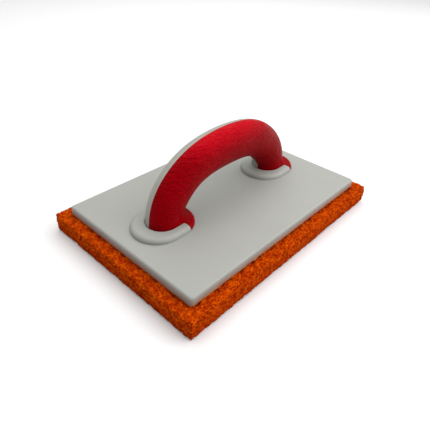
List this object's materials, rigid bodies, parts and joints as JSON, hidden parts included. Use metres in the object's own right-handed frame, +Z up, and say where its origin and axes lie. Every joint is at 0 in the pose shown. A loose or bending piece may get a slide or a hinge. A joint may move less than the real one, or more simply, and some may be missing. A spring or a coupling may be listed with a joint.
{
  "type": "sponge float",
  "caption": "Hand float: a coarse cut sponge pad glued under a flat plastic plate, with a two-tone arched handle whose feet slide into raised collars.",
  "frame": {"origin": "centre of the sponge's underside", "axes": "+X along the handle and the long side, towards the side the handle slides off; +Y towards the grey half of the handle; +Z up"},
  "size_m": [0.272, 0.192, 0.1016],
  "materials": {
    "orange_sponge": "coarse open-cell foam, cut faces",
    "contact_glue": "dried amber glue film",
    "grey_plate_plastic": "fine matt moulded plastic",
    "grey_handle_plastic": "fine matt moulded plastic",
    "red_grained_plastic": "leather-grained satin plastic"
  },
  "bodies": {
    "plate": {"base_plate": "grey_plate_plastic", "adhesive_layer": "contact_glue", "sponge_pad": "orange_sponge"},
    "handle": {"handle_shell_grey": "grey_handle_plastic", "handle_shell_red": "red_grained_plastic"}
  },
  "joints": [
    {"name": "handle_slide", "type": "slide", "parent": "plate", "child": "handle", "axis": [1, 0, 0], "range_m": [0, 0.035]}
  ]
}
